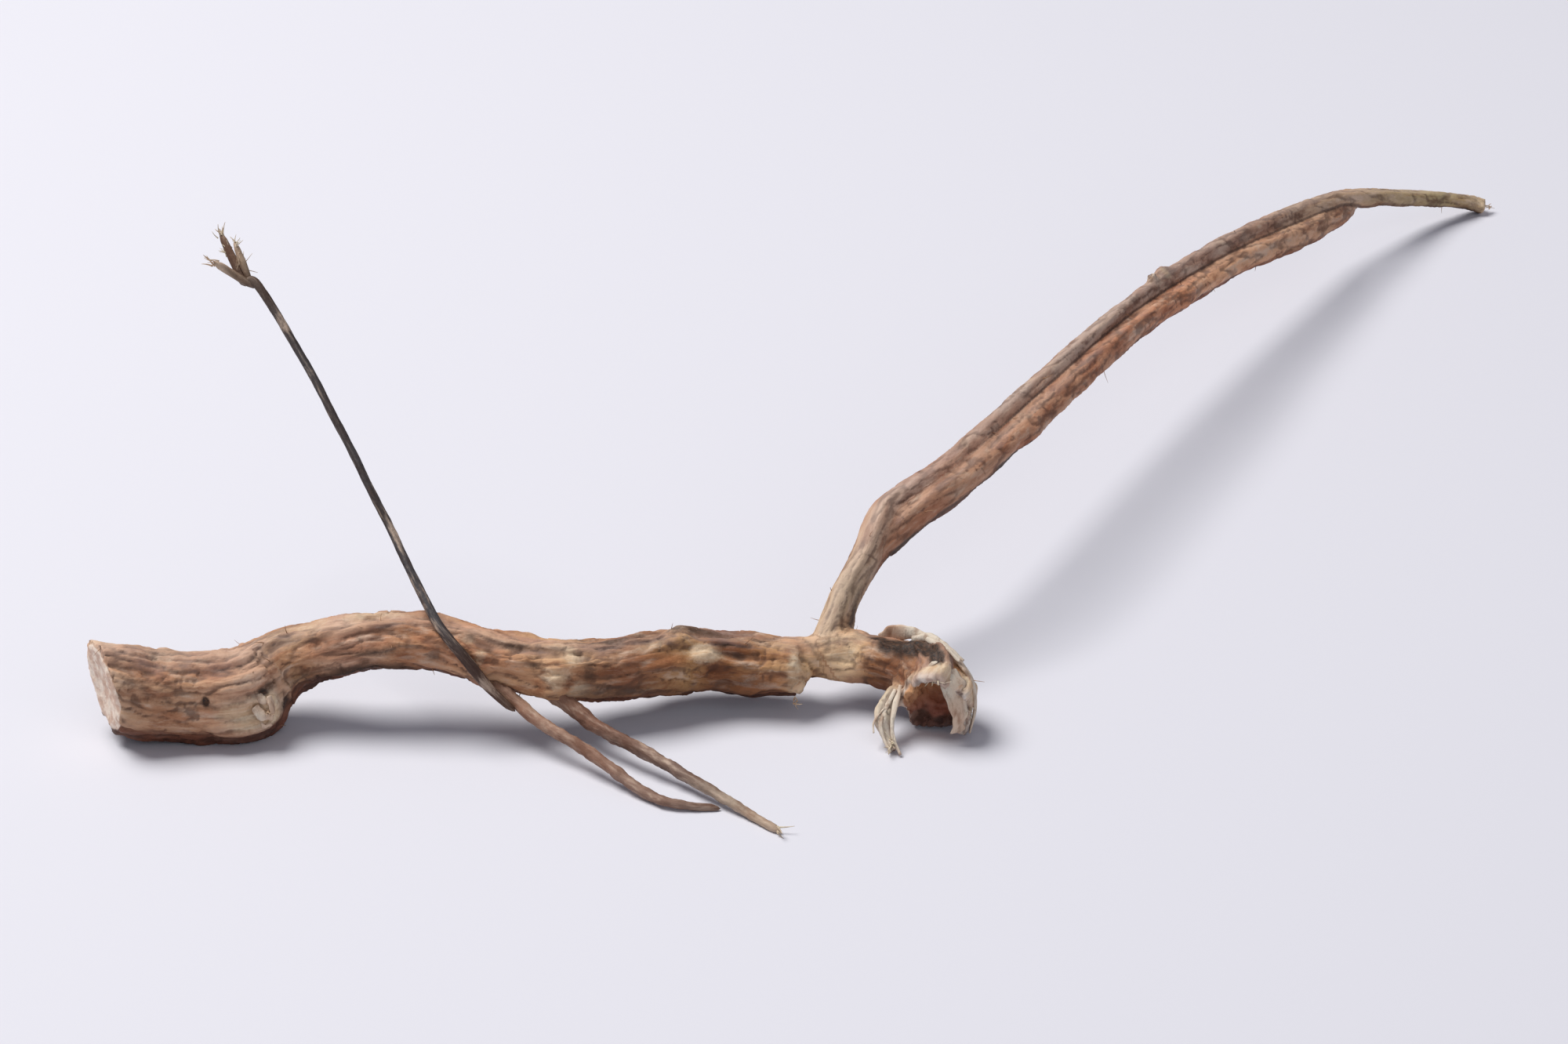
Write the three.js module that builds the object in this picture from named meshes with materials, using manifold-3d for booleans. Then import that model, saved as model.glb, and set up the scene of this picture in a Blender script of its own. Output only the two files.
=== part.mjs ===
// A dried punarnava root, lying on a flat surface. Millimetres, +Z up.
// The stout main root runs along +X. A forked side root leaves it near the right end, arches away
// along +Y and comes down on its tip. Wiry rootlets stand up behind and trail down in front.
// The origin is the middle of the root's footprint, on the surface that it lies on.
//
// Every limb is one turned profile, bent along its own centreline and raised into bark.
// Around a limb, 0 degrees is up, 90 is the front, 180 is underneath and 270 is the back.

import * as THREE from "three";
import { mergeVertices } from "three/addons/utils/BufferGeometryUtils.js";
import Module from "manifold-3d";

const wasm = await Module();
wasm.setup();

// Each point of a route is [x, y, z, radius]. Spacing is the step between rings along the limb.

const mainRoot = {
  route: [
    [-80.8, -64.2, 6.9, 4.8],
    [-76.0, -63.1, 5.5, 4.9],
    [-70.8, -62.4, 4.9, 4.95],
    [-67.0, -62.0, 4.9, 5.05],
    [-64.9, -60.9, 5.3, 4.75],
    [-63.2, -59.5, 6.0, 4.15],
    [-60.9, -58.8, 7.2, 3.6],
    [-57.7, -58.7, 8.3, 3.2],
    [-53.7, -58.9, 9.4, 3.2],
    [-49.6, -58.7, 9.9, 3.3],
    [-44.3, -59.0, 9.7, 3.1],
    [-38.9, -59.7, 8.6, 3.0],
    [-33.8, -60.3, 7.5, 3.2],
    [-28.0, -59.6, 6.75, 3.5],
    [-22.1, -57.6, 6.25, 3.75],
    [-16.8, -55.0, 5.6, 3.8],
    [-10.4, -54.9, 5.15, 3.6],
    [-3.9, -55.0, 4.8, 3.25],
  ],
  spacing: 0.95,
  sides: 26,
  start: "sawn",
  end: "snapped",
  slant: { angle: 140, rise: 0.5, reach: 7 },
  bark: { lobe: 0.04, wrinkle: 0.22, folds: 7 },
  // Lumps and scars: distance from the sawn end, angle round the root, height, length, width in degrees.
  lumps: [
    [9, 75, -0.35, 2.2, 24],
    [11.6, 118, -0.6, 0.9, 12],
    [15.4, 126, 0.6, 2.0, 34],
    [17, 160, 0.6, 2.0, 46],
    [22, 250, 0.55, 2.4, 40],
    [26, 98, 0.45, 1.8, 26],
    [28.5, 40, 0.4, 2.6, 30],
    [35, 62, 0.4, 2.0, 26],
    [39, 230, -0.4, 1.8, 26],
    [42, 58, 0.55, 1.5, 26],
    [44.5, 96, 0.5, 1.4, 24],
    [49, 285, 0.55, 2.4, 34],
    [52.5, 82, 0.75, 1.3, 46],
    [59, 205, 0.4, 2.6, 34],
    [66.5, 358, 0.6, 1.6, 26],
    [68, 52, 0.3, 3.2, 24],
    [71.8, 66, -0.45, 1.2, 26],
    [75, 300, 0.45, 1.8, 34],
  ],
};

// The upper half of the main root carries on past the snapped lower half, as a thinner neck.
const neck = {
  route: [
    [-10.9, -54.3, 5.4, 2.0],
    [-3.8, -54.2, 5.7, 2.2],
    [2.4, -54.3, 5.9, 2.6],
    [6.3, -56.0, 6.0, 2.8],
    [9.8, -57.9, 5.4, 2.8],
  ],
  spacing: 1.1,
  sides: 14,
  start: "round",
  end: "round",
  bark: { lobe: 0.08, wrinkle: 0.16, folds: 5 },
  lumps: [
    [12.5, 350, 0.5, 1.6, 40],
    [15, 60, 0.4, 1.4, 34],
  ],
};

// The torn knob that the neck ends in: a stubby cup whose ragged mouth faces front and down.
const knob = {
  route: [
    [7.5, -55.0, 6.6, 2.0],
    [9.3, -56.9, 6.1, 3.2],
    [11.4, -60.2, 5.0, 4.15],
    [11.2, -62.6, 3.9, 4.2],
  ],
  spacing: 0.8,
  sides: 22,
  start: "round",
  end: "hollow",
  bark: { lobe: 0.1, wrinkle: 0.3, folds: 5 },
  lumps: [
    [3.2, 15, -0.7, 1.6, 26],
    [4.2, 300, 0.5, 1.6, 36],
    [6, 50, 0.5, 1.6, 30],
    [6.6, 262, 0.5, 1.2, 36],
    [6.6, 105, -0.7, 1.2, 26],
    [6.6, 330, -0.6, 1.2, 26],
  ],
};

const sideRoot = {
  route: [
    [-1.3, -53.7, 5.2, 2.7],
    [0.0, -51.4, 8.8, 2.0],
    [1.0, -49.1, 10.9, 1.8],
    [2.8, -46.1, 13.5, 1.75],
    [4.8, -40.6, 16.6, 1.45],
    [7.2, -37.7, 17.8, 1.25],
    [12.5, -31.1, 18.9, 1.1],
    [21.6, -11.1, 18.9, 1.08],
    [32.9, 15.0, 17.6, 1.12],
    [45.1, 39.5, 14.8, 1.3],
    [58.2, 62.8, 10.4, 1.4],
    [64.9, 71.4, 7.8, 1.3],
    [71.7, 78.9, 4.6, 1.2],
    [78.5, 84.0, 1.9, 1.1],
    [81.0, 84.7, 0.8, 1.07],
  ],
  spacing: 2.1,
  sides: 10,
  start: "round",
  end: "sawn",
  bark: { lobe: 0.08, wrinkle: 0.06, folds: 4 },
  lumps: [
    [18, 60, 0.4, 2.0, 60],
    [33, 150, 0.4, 2.0, 60],
    [92, 330, 0.7, 1.6, 50],
    [139, 60, 0.4, 2.2, 60],
  ],
};

const lowerStrand = {
  route: [
    [1.2, -49.3, 9.8, 1.2],
    [3.9, -44.1, 13.2, 1.52],
    [5.6, -42.3, 14.5, 1.7],
    [9.1, -38.2, 16.1, 1.82],
    [13.9, -32.1, 17.1, 1.82],
    [21.5, -16.0, 17.1, 1.76],
    [32.7, 10.7, 15.9, 1.73],
    [44.9, 36.0, 13.1, 1.7],
    [51.3, 47.5, 11.2, 1.69],
    [58.1, 59.7, 9.1, 1.53],
    [62.5, 68.6, 7.8, 1.09],
  ],
  spacing: 2.3,
  sides: 9,
  start: "round",
  end: "round",
  bark: { lobe: 0.08, wrinkle: 0.06, folds: 4 },
  lumps: [
    [38, 120, 0.4, 2.2, 60],
    [84, 80, 0.4, 2.0, 60],
  ],
};

// Wiry rootlets, from where each grows out to its tip.
const rootlets = [
  {
    route: [
      [-37.4, -62.1, 6.2, 0.9],
      [-40.1, -62.8, 9.7, 0.9],
      [-42.6, -61.3, 12.1, 0.85],
      [-44.8, -58.3, 13.9, 0.75],
      [-50.5, -48.9, 20.3, 0.65],
      [-58.5, -37.0, 30.0, 0.6],
      [-66.2, -27.6, 38.6, 0.6],
      [-68.3, -26.0, 38.9, 0.6],
      [-69.5, -24.5, 40.3, 0.6],
      [-71.4, -21.8, 43.1, 0.5],
    ],
    spacing: 2.2,
  },
  {
    route: [
      [-66.9, -27.2, 38.6, 0.5],
      [-69.4, -26.2, 39.9, 0.5],
      [-71.5, -27.4, 41.9, 0.4],
    ],
    spacing: 1.6,
  },
  {
    route: [
      [-67.6, -26.6, 38.8, 0.5],
      [-68.0, -24.8, 41.0, 0.48],
      [-69.0, -23.6, 43.2, 0.38],
    ],
    spacing: 1.6,
  },
  {
    route: [
      [-34.4, -60.5, 7.3, 1.5],
      [-30.3, -62.9, 5.2, 1.15],
      [-27.0, -65.1, 3.8, 0.95],
      [-21.1, -69.9, 2.6, 0.8],
      [-14.3, -75.3, 1.5, 0.7],
      [-4.7, -84.0, 0.36, 0.46],
    ],
    spacing: 1.9,
  },
  {
    route: [
      [-40.6, -60.7, 7.9, 1.2],
      [-37.1, -62.5, 6.1, 1.05],
      [-33.4, -65.0, 4.4, 0.8],
      [-26.6, -70.4, 2.5, 0.76],
      [-20.6, -75.9, 1.1, 0.68],
      [-16.6, -78.6, 0.7, 0.58],
      [-11.5, -78.9, 0.36, 0.45],
    ],
    spacing: 1.9,
  },
];

// Broken pegs, and the pale splinters round the torn knob.
const stubs = [
  {
    route: [
      [-63.8, -61.4, 4.8, 1.8],
      [-62.7, -63.8, 4.9, 1.6],
      [-62.1, -65.0, 4.4, 1.1],
    ],
    spacing: 0.9,
  },
  {
    route: [
      [-3.2, -55.6, 6.0, 1.2],
      [-3.7, -57.2, 4.6, 1.05],
      [-4.5, -57.9, 3.0, 0.75],
    ],
    spacing: 0.8,
  },
  {
    route: [
      [7.4, -59.3, 4.6, 1.5],
      [5.6, -62.8, 3.4, 1.05],
      [6.0, -64.2, 1.4, 0.75],
      [6.8, -66.3, 0.35, 0.46],
    ],
    spacing: 0.9,
  },
  {
    route: [
      [14.0, -60.7, 5.2, 1.0],
      [14.6, -62.4, 3.0, 0.9],
      [14.0, -62.9, 0.5, 0.7],
    ],
    spacing: 0.9,
  },
  {
    route: [
      [36.0, 21.3, 16.8, 0.9],
      [35.6, 21.6, 19.1, 0.65],
    ],
    spacing: 0.8,
  },
];

const rootletSides = 6;
const rootletBark = { lobe: 0.05, wrinkle: 0, folds: 3 };

// How each kind of end closes: pairs of [share of the radius, millimetres in from the end].
const endings = {
  sawn: [
    [0, 0.5],
    [0.4, 0.35],
    [0.8, 0],
    [1, 0.25],
  ],
  snapped: [
    [0, 1.4],
    [0.45, 0.9],
    [0.85, 0],
    [1, 0.4],
  ],
  hollow: [
    [0, 4.2],
    [0.45, 3.8],
    [0.68, 1.6],
    [0.85, 0],
    [1, 0.5],
  ],
  round: [
    [0, 0],
    [0.6, 0.3],
    [1, 1],
  ],
};

const radians = THREE.MathUtils.degToRad;
const up = new THREE.Vector3(0, 0, 1);

function smoothLine(points) {
  return new THREE.CatmullRomCurve3(points, false, "catmullrom", 0.5);
}

// The place, direction and radius of a limb at a share of its length.
function limbLine(route) {
  const line = smoothLine(route.map(([x, y, z]) => new THREE.Vector3(x, y, z)));
  const girth = smoothLine(route.map((point) => new THREE.Vector3(point[3], 0, 0)));
  return {
    length: line.getLength(),
    at(share) {
      const t = line.getUtoTmapping(THREE.MathUtils.clamp(share, 0, 1));
      return {
        place: line.getPoint(t),
        along: line.getTangent(t),
        radius: girth.getPoint(t).x,
      };
    },
  };
}

// The turned profile of a limb: x is a share of the radius, y the distance along it.
function limbProfile(length, spacing, start, end) {
  const near = endings[start];
  const far = endings[end];
  const nearInset = near.at(-1)[1];
  const farInset = far.at(-1)[1];
  const shaft = length - nearInset - farInset;
  const rings = Math.max(2, Math.round(shaft / spacing));
  const points = near.map(([share, inset]) => new THREE.Vector2(share, inset));
  for (let ring = 1; ring < rings; ring += 1) {
    points.push(new THREE.Vector2(1, nearInset + (shaft * ring) / rings));
  }
  const closing = far.map(([share, inset]) => new THREE.Vector2(share, length - inset));
  return points.concat(closing.reverse());
}

// How far the bark stands out from a limb's plain radius, at a distance along it and an angle.
function barkRelief({ bark, lumps = [] }, radius, distance, angle) {
  const { lobe, wrinkle, folds } = bark;
  const oval = Math.cos(2 * angle + distance / 17) + 0.7 * Math.cos(3 * angle - distance / 9);
  const wander = 1.4 * Math.sin(distance / 6.5) + 0.6 * Math.sin(distance / 2.9);
  const crests = Math.sin(folds * angle + wander) + 0.6 * Math.sin((folds + 4) * angle - 1.7 * wander);
  const knots = Math.sin(distance / 1.9 + 2 * Math.sin(angle)) * Math.sin(2 * angle + distance / 3.7);
  let relief = lobe * radius * oval + wrinkle * (crests + 0.8 * knots);
  for (const [where, degrees, height, length, width] of lumps) {
    const offset = angle - radians(degrees);
    const turn = Math.atan2(Math.sin(offset), Math.cos(offset)) / radians(width);
    const reach = (distance - where) / length;
    relief += height * Math.exp(-(turn * turn) - reach * reach);
  }
  return relief;
}

// A slanting saw cut: the first few millimetres are sheared along the limb.
function slantShift(slant, distance, angle, radius) {
  if (!slant || distance > slant.reach) return 0;
  const fade = 1 - distance / slant.reach;
  return slant.rise * radius * fade * Math.cos(angle - radians(slant.angle));
}

function limbGeometry(limb) {
  const line = limbLine(limb.route);
  const profile = limbProfile(line.length, limb.spacing, limb.start, limb.end);
  const geometry = new THREE.LatheGeometry(profile, limb.sides);
  const position = geometry.getAttribute("position");
  const vertex = new THREE.Vector3();
  for (let i = 0; i < position.count; i += 1) {
    vertex.fromBufferAttribute(position, i);
    const share = Math.hypot(vertex.x, vertex.z);
    const angle = share > 1e-6 ? Math.atan2(vertex.x, vertex.z) : 0;
    const plainRadius = line.at(vertex.y / line.length).radius;
    const shift = slantShift(limb.slant, vertex.y, angle, share * plainRadius);
    const { place, along, radius } = line.at((vertex.y + shift) / line.length);
    const relief = barkRelief(limb, radius, vertex.y, angle);
    const beyond = Math.min(0, vertex.y + shift);
    const side = new THREE.Vector3().crossVectors(along, up).normalize();
    const top = new THREE.Vector3().crossVectors(side, along);
    const reach = share * (radius + relief);
    vertex
      .copy(place)
      .addScaledVector(along, beyond)
      .addScaledVector(top, reach * Math.cos(angle))
      .addScaledVector(side, reach * Math.sin(angle));
    position.setXYZ(i, vertex.x, vertex.y, vertex.z);
  }
  return geometry;
}

// three.js geometry to a closed solid, and back.
function solidOf(geometry) {
  const bare = geometry.clone().deleteAttribute("normal").deleteAttribute("uv");
  const merged = mergeVertices(bare, 1e-4);
  return new wasm.Manifold(
    new wasm.Mesh({
      numProp: 3,
      vertProperties: merged.getAttribute("position").array,
      triVerts: new Uint32Array(merged.index.array),
    }),
  );
}

function geometryOf(solid) {
  const mesh = solid.getMesh();
  const geometry = new THREE.BufferGeometry();
  geometry.setAttribute("position", new THREE.BufferAttribute(mesh.vertProperties, 3));
  geometry.setIndex(new THREE.BufferAttribute(mesh.triVerts, 1));
  geometry.computeVertexNormals();
  return geometry;
}

// The surface that the root lies on, as a slab: it pares small flat spots under the low points.
function surfaceSlab() {
  const thickness = 10;
  const slab = new THREE.BoxGeometry(400, 400, thickness);
  slab.translate(0, 0, -thickness / 2);
  return slab;
}

function rootGeometry() {
  const wiry = [...rootlets, ...stubs].map((limb) => ({
    sides: rootletSides,
    start: "round",
    end: "sawn",
    bark: rootletBark,
    ...limb,
  }));
  const limbs = [mainRoot, neck, knob, sideRoot, lowerStrand, ...wiry];
  const grown = limbs.map((limb) => solidOf(limbGeometry(limb))).reduce((all, next) => all.add(next));
  return geometryOf(grown.subtract(solidOf(surfaceSlab())));
}

const barkMaterial = new THREE.MeshStandardMaterial({ color: 0x8a6446, roughness: 0.85, metalness: 0 });

const part = new THREE.Group();
const root = new THREE.Mesh(rootGeometry(), barkMaterial);
root.name = "root";
part.add(root);

export default part;
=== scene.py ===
# A dried punarnava root lying on a pale tabletop. The routes are in millimetres, in the part's frame.
import bpy
import math
import numpy as np
from mathutils import Euler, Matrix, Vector


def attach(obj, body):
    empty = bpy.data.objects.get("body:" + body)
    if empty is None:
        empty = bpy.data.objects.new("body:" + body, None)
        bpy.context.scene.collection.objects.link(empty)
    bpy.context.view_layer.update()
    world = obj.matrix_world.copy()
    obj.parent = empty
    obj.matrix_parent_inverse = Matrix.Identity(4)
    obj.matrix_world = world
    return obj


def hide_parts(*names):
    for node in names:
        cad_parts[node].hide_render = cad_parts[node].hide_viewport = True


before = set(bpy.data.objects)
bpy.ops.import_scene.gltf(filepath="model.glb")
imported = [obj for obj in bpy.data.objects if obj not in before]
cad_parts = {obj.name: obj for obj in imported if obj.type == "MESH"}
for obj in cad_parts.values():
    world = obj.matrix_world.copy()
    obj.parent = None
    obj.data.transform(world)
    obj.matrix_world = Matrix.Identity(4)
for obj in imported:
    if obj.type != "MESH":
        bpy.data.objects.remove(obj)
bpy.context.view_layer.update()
mm = 0.001
lowest = {"bark": 0.02, "rootlets": 0.02, "tornWood": 0.03}  # millimetres above the tabletop
rng = np.random.default_rng(11)


def srgb(red, green, blue):
    # 0 to 255 display values to the linear colour that the shaders use
    def linear(value):
        value /= 255
        return value / 12.92 if value < 0.04045 else ((value + 0.055) / 1.055) ** 2.4
    return (linear(red), linear(green), linear(blue), 1.0)


# The camera, the light and the tabletop

studio = {
    "eye": (0.028, -0.563, 0.277),
    "aim": (-0.0075, -0.023, 0.0069),
    "pitch": 20.1,  # degrees below level, before the camera turns towards the aim
    "lens": 118.9,
    "sensor": 36,
    "nearest": 0.01,
    "tabletop": srgb(222, 222, 230),
    "tabletopHalf": 1.5,
    "tabletopRoughness": 0.6,
    "tabletopShine": 0.25,
    "sky": srgb(222, 224, 240),
    "skyStrength": 0.25,
    "windowPlace": (-0.52, 0.17, 1.02),
    "windowSize": 0.74,
    "windowPower": 14.5,
    "windowColour": (1.0, 0.98, 0.95),
    "fillPlace": (0.5, -1.0, 0.8),
    "fillSize": 1.2,
    "fillPower": 2.6,
    "fillColour": (0.95, 0.97, 1.0),
}


def aimedAt(thing, target):
    direction = Vector(target) - thing.location
    thing.rotation_euler = direction.to_track_quat("-Z", "Y").to_euler()


def softLamp(name):
    lamp = bpy.data.lights.new(name, "AREA")
    lamp.shape = "DISK"
    lamp.size = studio[name + "Size"]
    lamp.energy = studio[name + "Power"]
    lamp.color = studio[name + "Colour"]
    holder = bpy.data.objects.new(name, lamp)
    holder.location = studio[name + "Place"]
    bpy.context.collection.objects.link(holder)
    aimedAt(holder, (0, 0, 0))


def setStudio():
    scene = bpy.context.scene
    camera = bpy.data.cameras.new("camera")
    camera.lens = studio["lens"]
    camera.sensor_width = studio["sensor"]
    camera.clip_start = studio["nearest"]
    holder = bpy.data.objects.new("camera", camera)
    holder.location = studio["eye"]
    bpy.context.collection.objects.link(holder)
    level = Euler((math.radians(90 - studio["pitch"]), 0, 0)).to_quaternion()
    ahead = level @ Vector((0, 0, -1))
    turn = ahead.rotation_difference(Vector(studio["aim"]) - holder.location)
    holder.rotation_euler = (turn @ level).to_euler()
    scene.camera = holder

    world = bpy.data.worlds.new("sky")
    scene.world = world
    world.use_nodes = True
    background = world.node_tree.nodes["Background"]
    background.inputs["Color"].default_value = studio["sky"]
    background.inputs["Strength"].default_value = studio["skyStrength"]
    softLamp("window")
    softLamp("fill")
    scene.view_settings.view_transform = "Standard"

    half = studio["tabletopHalf"]
    corners = [(-half, -half, 0), (half, -half, 0), (half, half, 0), (-half, half, 0)]
    sheet = bpy.data.meshes.new("tabletop")
    sheet.from_pydata(corners, [], [(0, 1, 2, 3)])
    table = bpy.data.objects.new("tabletop", sheet)
    bpy.context.collection.objects.link(table)
    finish = bpy.data.materials.new("tabletop")
    finish.use_nodes = True
    shader = finish.node_tree.nodes["Principled BSDF"]
    shader.inputs["Base Color"].default_value = studio["tabletop"]
    shader.inputs["Roughness"].default_value = studio["tabletopRoughness"]
    shader.inputs["Specular IOR Level"].default_value = studio["tabletopShine"]
    sheet.materials.append(finish)


# Limbs: each is a turned profile bent along its route, as in the part's source.
# A route is a list of (x, y, z, radius). Angles round a limb start at the top, with the front at 90.
# Lumps are (distance along, angle, height, length, width in degrees). Pale and dark spots, mostly marks of
# the bark and some of them painted highlight and painted shade, are (distance along, angle, length, width in
# degrees, strength). Tones are (distance along, colour).

mainRoot = {
    "route": [
        (-80.8, -64.2, 6.9, 4.8), (-76.0, -63.1, 5.5, 4.9), (-70.8, -62.4, 4.9, 4.95),
        (-67.0, -62.0, 4.9, 5.05), (-64.9, -60.9, 5.3, 4.75), (-63.2, -59.5, 6.0, 4.15),
        (-60.9, -58.8, 7.2, 3.6), (-57.7, -58.7, 8.3, 3.2), (-53.7, -58.9, 9.4, 3.2),
        (-49.6, -58.7, 9.9, 3.3), (-44.3, -59.0, 9.7, 3.1), (-38.9, -59.7, 8.6, 3.0),
        (-33.8, -60.3, 7.5, 3.2), (-28.0, -59.6, 6.75, 3.5), (-22.1, -57.6, 6.25, 3.75),
        (-16.8, -55.0, 5.6, 3.8), (-10.4, -54.9, 5.15, 3.6), (-3.9, -55.0, 4.8, 3.25),
    ],
    "start": "sawn", "end": "snapped",
    "slant": (140, 0.5, 7),
    "lobe": 0.04, "wrinkle": 0.22, "folds": 7,
    "lumps": [
        (9, 75, -0.35, 2.2, 24), (11.6, 118, -0.6, 0.9, 12), (15.4, 126, 0.6, 2.0, 34),
        (17, 160, 0.6, 2.0, 46), (22, 250, 0.55, 2.4, 40), (26, 98, 0.45, 1.8, 26),
        (28.5, 40, 0.4, 2.6, 30), (35, 62, 0.4, 2.0, 26), (39, 230, -0.4, 1.8, 26),
        (42, 58, 0.55, 1.5, 26), (44.5, 96, 0.5, 1.4, 24), (49, 285, 0.55, 2.4, 34),
        (52.5, 82, 0.75, 1.3, 46), (59, 205, 0.4, 2.6, 34), (66.5, 358, 0.6, 1.6, 26),
        (68, 52, 0.3, 3.2, 24), (71.8, 66, -0.45, 1.2, 26), (75, 300, 0.45, 1.8, 34),
    ],
    "tones": [
        (0, (216, 182, 152)), (3, (188, 148, 116)), (10, (188, 144, 110)), (17, (204, 162, 134)),
        (23, (188, 150, 112)), (29, (206, 166, 138)), (36, (180, 132, 94)), (42, (212, 168, 132)),
        (48, (196, 150, 112)), (53, (208, 166, 126)), (60, (158, 108, 74)), (67, (184, 140, 92)),
        (71, (144, 92, 52)), (76, (172, 122, 76)), (79, (204, 160, 114)),
    ],
    "pale": [
        (7, 20, 3, 16, 0.3), (14.2, 88, 1.8, 17, 0.55), (15, 98, 1.6, 24, 0.6), (15.6, 96, 2.2, 30, 0.5),
        (25, 350, 5, 30, 0.4), (32, 350, 5, 30, 0.5), (42.5, 30, 1.6, 20, 0.35), (44.4, 62, 1.0, 30, 0.5),
        (52.4, 76, 1.8, 26, 0.6), (54, 30, 1.2, 34, 0.5), (54.6, 96, 1.6, 22, 0.5),
        (58.5, 60, 2, 12, 0.3), (62.6, 26, 2.6, 14, 0.35), (69.6, 50, 2.5, 16, 1.0),
        (80, 70, 1.0, 60, 0.75),
    ],
    # the long spot at 30 mm along, low on the front, is painted shade under the arch; the others are dark
    # marks of the bark
    "dark": [
        (11.9, 72, 0.5, 8, 1.1), (16.7, 74, 0.8, 11, 0.85), (17.4, 70, 1.2, 12, 0.6),
        (18.4, 116, 0.8, 16, 0.8), (22, 108, 4, 12, 0.5), (26, 20, 1.0, 12, 0.4), (30, 128, 10, 22, 0.7),
        (32, 84, 5, 14, 0.5), (34, 12, 2.2, 12, 0.35), (45, 40, 1.0, 12, 0.5), (48, 20, 2.6, 14, 0.5),
        (50.2, 58, 0.7, 18, 0.5), (55.8, 66, 1.2, 40, 0.45), (58, 104, 8, 20, 0.45),
        (59, 354, 6, 26, 0.55), (60, 58, 2.6, 10, 0.4), (64, 122, 14, 20, 0.3), (66, 10, 2, 10, 0.45),
        (70, 354, 6, 26, 0.55), (72.0, 34, 2.0, 8, 0.5), (73.4, 48, 1.8, 8, 0.5),
        (74.5, 98, 4.5, 20, 0.4), (74.6, 62, 1.4, 8, 0.4), (76, 8, 3, 14, 0.45), (77, 0, 3, 24, 0.4),
    ],
    "ruggedness": 1.0,
}
neck = {
    "route": [
        (-10.9, -54.3, 5.4, 2.0), (-3.8, -54.2, 5.7, 2.2), (2.4, -54.3, 5.9, 2.6), (6.3, -56.0, 6.0, 2.8),
        (9.8, -57.9, 5.4, 2.8),
    ],
    "start": "round", "end": "round",
    "lobe": 0.08, "wrinkle": 0.16, "folds": 5,
    "lumps": [(12.5, 350, 0.5, 1.6, 40), (15, 60, 0.4, 1.4, 34)],
    "tones": [
        (0, (200, 158, 120)), (8, (240, 202, 158)), (13, (254, 218, 172)), (16, (182, 130, 86)),
        (18, (142, 90, 54)),
    ],
    "pale": [(11.2, 52, 2.6, 26, 0.65), (12.6, 345, 1.0, 26, 0.6), (13, 30, 2.4, 40, 0.45)],
    # the dark spots on top from 16 mm along are painted shadow in the crevice under the pale flakes
    "dark": [
        (7.6, 122, 1.6, 34, 0.6), (16.0, 356, 1.2, 22, 0.9), (16.6, 100, 2.0, 34, 0.35),
        (17.6, 10, 1.4, 30, 1.15), (19.2, 16, 1.3, 30, 1.2),
    ],
    "ruggedness": 0.7,
}
knob = {
    "route": [
        (7.5, -55.0, 6.6, 2.0), (9.3, -56.9, 6.1, 3.2), (11.4, -60.2, 5.0, 4.15), (11.2, -62.6, 3.9, 4.2),
    ],
    "start": "round", "end": "hollow",
    "lobe": 0.1, "wrinkle": 0.3, "folds": 5,
    "lumps": [
        (3.2, 15, -0.7, 1.6, 26), (4.2, 300, 0.5, 1.6, 36), (6, 50, 0.5, 1.6, 30),
        (6.6, 262, 0.5, 1.2, 36), (6.6, 105, -0.7, 1.2, 26), (6.6, 330, -0.6, 1.2, 26),
    ],
    "tones": [
        (0, (160, 112, 76)), (3.4, (158, 110, 76)), (6.0, (176, 132, 98)), (7.6, (206, 180, 156)),
        (9.2, (222, 212, 202)),
    ],
    "pale": [(6.8, 285, 2.2, 44, 0.8), (7.6, 350, 0.9, 60, 0.7)],
    # the dark spots on top, at angles of 4 to 22, are painted shadow in the crevice under the pale flakes
    "dark": [
        (0.6, 22, 1.2, 32, 1.1), (2.4, 16, 1.5, 25, 1.25), (4.2, 7, 1.4, 16, 1.2),
        (5.6, 95, 1.6, 34, 0.5), (5.9, 4, 1.2, 14, 1.0),
    ],
    "ruggedness": 0.9,
}
sideRoot = {
    "route": [
        (-1.3, -53.7, 5.2, 2.7), (0.0, -51.4, 8.8, 2.0), (1.0, -49.1, 10.9, 1.8),
        (2.8, -46.1, 13.5, 1.75), (4.8, -40.6, 16.6, 1.45), (7.2, -37.7, 17.8, 1.25),
        (12.5, -31.1, 18.9, 1.1), (21.6, -11.1, 18.9, 1.08), (32.9, 15.0, 17.6, 1.12),
        (45.1, 39.5, 14.8, 1.3), (58.2, 62.8, 10.4, 1.4), (64.9, 71.4, 7.8, 1.3), (71.7, 78.9, 4.6, 1.2),
        (78.5, 84.0, 1.9, 1.1), (81.0, 84.7, 0.8, 1.07),
    ],
    "start": "round", "end": "sawn",
    "lobe": 0.08, "wrinkle": 0.06, "folds": 4,
    "lumps": [
        (18, 60, 0.4, 2.0, 60), (33, 150, 0.4, 2.0, 60), (92, 330, 0.7, 1.6, 50), (139, 60, 0.4, 2.2, 60),
    ],
    "tones": [
        (0, (204, 172, 138)), (8, (202, 176, 146)), (14, (200, 168, 142)), (23, (194, 162, 144)),
        (43, (182, 156, 140)), (107, (182, 156, 140)), (142, (184, 152, 122)), (161, (178, 158, 118)),
        (170, (200, 190, 146)),
    ],
    # the pale spots at 6 and 60 mm along, on the upper left, are a painted highlight on the lit side
    "pale": [
        (6, 300, 6, 60, 0.45), (60, 330, 22, 30, 0.25), (91.5, 20, 1.2, 50, 0.5),
        (168.5, 40, 2.4, 120, 0.4),
    ],
    # the dark spots at 6.5 and 22 mm along, on the right side, are painted shade; the others are dark marks
    # of the bark
    "dark": [
        (6.5, 94, 4.5, 32, 0.65), (22, 90, 14, 24, 0.15), (27, 350, 1.0, 14, 0.3), (30, 40, 1.2, 16, 0.4),
        (34, 10, 1.0, 14, 0.35),
    ],
    "ruggedness": 0.4,
}
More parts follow.
